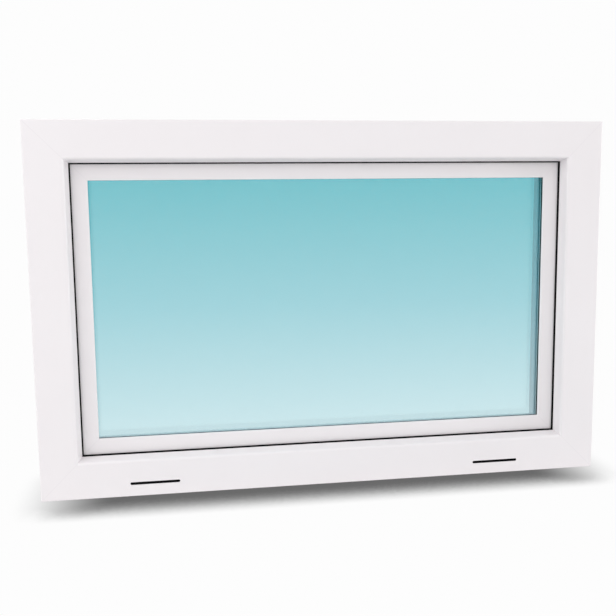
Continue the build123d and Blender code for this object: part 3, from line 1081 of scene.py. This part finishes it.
@dataclass
class Studio:
    """A pale floor, a white surround, soft lamps and the camera."""

    lens: float = 47.129
    sensor: float = 36.0
    camera_place: Vector = field(default_factory=lambda: Vector((-200.9, -1132.5, 396.6)) * MM)
    # The camera's turns in degrees, from a level view towards the room
    camera_yaw: float = 8.856
    camera_pitch: float = -7.290
    camera_roll: float = -0.677
    white: str = "#FDFDFD"
    # The strength of the surround's light from the sides, from outdoors and from the room
    side_light: float = 1.07
    front_light: float = 0.55
    back_light: float = 0.52
    # How far the sides' light reaches round to the room, as a share of the way to straight behind
    back_fade: float = 0.25
    floor_size: float = 9.0
    floor_drop: float = 0.2 * MM
    floor_colour: str = "#F6F6F6"
    shadow_colour: str = "#6A6A6A"
    shadow_reach: float = 90 * MM
    # Degrees from straight up, towards the window
    shadow_lean: float = 65.0
    # The open share of the view from the floor at which the shadow is deepest, and at which it ends
    shadow_core: float = 0.51
    shadow_edge: float = 0.88
    shadow_taper: float = 100 * MM
    shadow_overrun: float = 45 * MM
    front_size: float = 2.6
    back_size: float = 1.1
    fill_size: float = 1.0
    front_power: float = 29.0
    back_power: float = 15.0
    fill_power: float = 41.0
    front_place: Vector = field(default_factory=lambda: Vector((-1.7, -1.5, 2.15)))
    back_place: Vector = field(default_factory=lambda: Vector((-1.0, 2.0, 1.5)))
    fill_place: Vector = field(default_factory=lambda: Vector((4.2, -1.0, 0.55)))
    aim: Vector = field(default_factory=lambda: Vector((0.0, 0.0, 0.25)))

    def mirrored_rays(self, tree: bpy.types.NodeTree, rays: bpy.types.Node) -> bpy.types.NodeSocket:
        """Adds a test for rays that a surface reflects or lets through.

        Args:
            tree: The node tree of the floor or the surround.
            rays: The tree's node that tells rays apart.

        Returns:
            A socket that is 1 for such rays and 0 for others.
        """
        mirrored = add_node(tree, "ShaderNodeMath", {"operation": "MAXIMUM"},
                            {0: rays.outputs["Is Glossy Ray"], 1: rays.outputs["Is Transmission Ray"]})
        return mirrored.outputs[0]

    def light_surround(self) -> None:
        """Makes the surround: white to look at, and a soft light that is stronger from the sides."""
        world = bpy.data.worlds.new("white_surround")
        bpy.context.scene.world = world
        world.use_nodes = True
        tree = world.node_tree
        tree.nodes.clear()
        direction = add_node(tree, "ShaderNodeTexCoord").outputs["Generated"]
        split = add_node(tree, "ShaderNodeSeparateXYZ", inputs={0: direction})
        outdoors = add_node(tree, "ShaderNodeMapRange", inputs={
            "Value": split.outputs["Y"], "From Min": -1.0, "From Max": 0.0,
            "To Min": self.front_light, "To Max": self.side_light,
        })
        indoors = add_node(tree, "ShaderNodeMapRange", inputs={
            "Value": split.outputs["Y"], "From Min": 0.0, "From Max": self.back_fade,
            "To Min": self.side_light, "To Max": self.back_light,
        })
        light = add_node(tree, "ShaderNodeMath", {"operation": "MINIMUM"},
                         {0: outdoors.outputs["Result"], 1: indoors.outputs["Result"]})
        rays = add_node(tree, "ShaderNodeLightPath")
        seen = add_node(tree, "ShaderNodeMath", {"operation": "MAXIMUM"},
                        {0: rays.outputs["Is Camera Ray"], 1: self.mirrored_rays(tree, rays)})
        level = add_node(tree, "ShaderNodeMix", {"data_type": "FLOAT"}, {
            "Factor": seen.outputs[0], "A": light.outputs[0], "B": 1.0,
        })
        surround = add_node(tree, "ShaderNodeBackground",
                            inputs={"Color": linear(self.white), "Strength": level.outputs["Result"]})
        add_node(tree, "ShaderNodeOutputWorld", inputs={"Surface": surround.outputs["Background"]})

    def floor_shade(self, tree: bpy.types.NodeTree) -> bpy.types.NodeSocket:
        """Adds the floor's white with a soft shadow where the window stands close over it.

        The shadow is looked for towards the window, from outdoors and from the room alike.

        Args:
            tree: The floor's node tree.

        Returns:
            The colour's socket.
        """
        place = add_node(tree, "ShaderNodeTexCoord").outputs["Object"]
        split = add_node(tree, "ShaderNodeSeparateXYZ", inputs={0: place})
        lean = math.radians(self.shadow_lean)
        sill_low, sill_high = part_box("frame_sill")
        inwards = add_node(tree, "ShaderNodeMapRange", inputs={
            "Value": split.outputs["Y"], "From Min": sill_low.y, "From Max": sill_high.y,
            "To Min": math.sin(lean), "To Max": -math.sin(lean),
        })
        towards_window = add_node(tree, "ShaderNodeCombineXYZ",
                                  inputs={"Y": inwards.outputs["Result"], "Z": math.cos(lean)})
        openness = add_node(tree, "ShaderNodeAmbientOcclusion", inputs={
            "Distance": self.shadow_reach, "Normal": towards_window.outputs["Vector"],
        })
        near = add_node(tree, "ShaderNodeMapRange", {"interpolation_type": "SMOOTHSTEP"}, {
            "Value": openness.outputs["AO"], "From Min": self.shadow_core, "From Max": self.shadow_edge,
        })
        aside = add_node(tree, "ShaderNodeMath", {"operation": "ABSOLUTE"}, {0: split.outputs["X"]})
        past_end = add_node(tree, "ShaderNodeMapRange", {"interpolation_type": "SMOOTHSTEP"}, {
            "Value": aside.outputs[0],
            "From Min": HALF_WIDTH - self.shadow_taper,
            "From Max": HALF_WIDTH + self.shadow_overrun,
        })
        fade = add_node(tree, "ShaderNodeMath", {"operation": "MAXIMUM"},
                        {0: near.outputs["Result"], 1: past_end.outputs["Result"]})
        shade = add_node(tree, "ShaderNodeMix", {"data_type": "RGBA"}, {
            "Factor": fade.outputs[0],
            "A": linear(self.shadow_colour),
            "B": linear(self.white),
        })
        return shade.outputs["Result"]

    def floor_material(self) -> bpy.types.Material:
        """Makes a pale matt floor that looks white to the camera and in reflections.

        Returns:
            The floor's material.
        """
        material = bpy.data.materials.new("studio_floor")
        material.use_nodes = True
        tree = material.node_tree
        tree.nodes.clear()
        rays = add_node(tree, "ShaderNodeLightPath")
        matt = add_node(tree, "ShaderNodeBsdfDiffuse", inputs={"Color": linear(self.floor_colour)})
        bright = add_node(tree, "ShaderNodeEmission", inputs={"Color": linear(self.white), "Strength": 1.0})
        unseen = add_node(tree, "ShaderNodeMixShader", inputs={
            0: self.mirrored_rays(tree, rays), 1: matt.outputs[0], 2: bright.outputs[0],
        })
        seen = add_node(tree, "ShaderNodeEmission",
                        inputs={"Color": self.floor_shade(tree), "Strength": 1.0})
        surface = add_node(tree, "ShaderNodeMixShader", inputs={
            0: rays.outputs["Is Camera Ray"], 1: unseen.outputs[0], 2: seen.outputs[0],
        })
        add_node(tree, "ShaderNodeOutputMaterial", inputs={"Surface": surface.outputs[0]})
        return material

    def lay_floor(self) -> None:
        """Lays the floor just under the window."""
        deselect_all()
        bpy.ops.mesh.primitive_plane_add(size=self.floor_size, location=(0, 0, CAD_LOW.z - self.floor_drop))
        floor = bpy.context.object
        floor.name = "studio_floor"
        floor.data.materials.append(self.floor_material())

    def hang_lamp(self, name: str, place: Vector, power: float, size: float) -> None:
        """Hangs a large soft lamp that shines at the window and doesn't show itself.

        Args:
            name: The lamp's name.
            place: Where it hangs.
            power: Its power in watts.
            size: The length of its sides.
        """
        lamp = bpy.data.lights.new(name, "AREA")
        lamp.energy = power
        lamp.size = size
        holder = bpy.data.objects.new(name, lamp)
        holder.location = place
        holder.rotation_euler = (self.aim - place).to_track_quat("-Z", "Y").to_euler()
        holder.visible_camera = False
        holder.visible_transmission = False
        bpy.context.scene.collection.objects.link(holder)

    def set_camera(self) -> None:
        """Sets the camera outdoors, left of the window's middle and a little above it."""
        lens = bpy.data.cameras.new("photo_view")
        lens.lens = self.lens
        lens.sensor_width = self.sensor
        camera = bpy.data.objects.new("photo_view", lens)
        bpy.context.scene.collection.objects.link(camera)
        # An unturned camera looks straight down, so a level view takes a quarter turn
        yaw = Matrix.Rotation(-math.radians(self.camera_yaw), 4, "Z")
        pitch = Matrix.Rotation(math.radians(90 + self.camera_pitch), 4, "X")
        roll = Matrix.Rotation(math.radians(self.camera_roll), 4, "Z")
        camera.matrix_world = Matrix.Translation(self.camera_place) @ yaw @ pitch @ roll
        bpy.context.scene.camera = camera

    def build(self) -> None:
        """Makes the whole studio."""
        self.light_surround()
        self.lay_floor()
        self.hang_lamp("front_lamp", self.front_place, self.front_power, self.front_size)
        self.hang_lamp("back_lamp", self.back_place, self.back_power, self.back_size)
        self.hang_lamp("fill_lamp", self.fill_place, self.fill_power, self.fill_size)
        self.set_camera()
        bpy.context.scene.view_settings.view_transform = "Standard"
        log.info("studio ready")


def main() -> None:
    """Dresses the window, adds its small fittings and sets up the studio."""
    logging.basicConfig(level=logging.INFO, format="%(name)s: %(message)s")
    finishes = choose_finishes()
    outer_frame = OuterFrame(finishes)
    outer_frame.dress()
    outer_frame.fit_baffles()
    Sash(finishes).dress()
    glazed_unit = GlazedUnit(finishes)
    glazed_unit.dress()
    glazed_unit.lay_butyl()
    handle = Handle(finishes)
    handle.dress()
    handle.fit_trim()
    hinges = Hinges(finishes)
    hinges.dress()
    hinges.fit_screws()
    Studio().build()


if __name__ == "__main__":
    main()
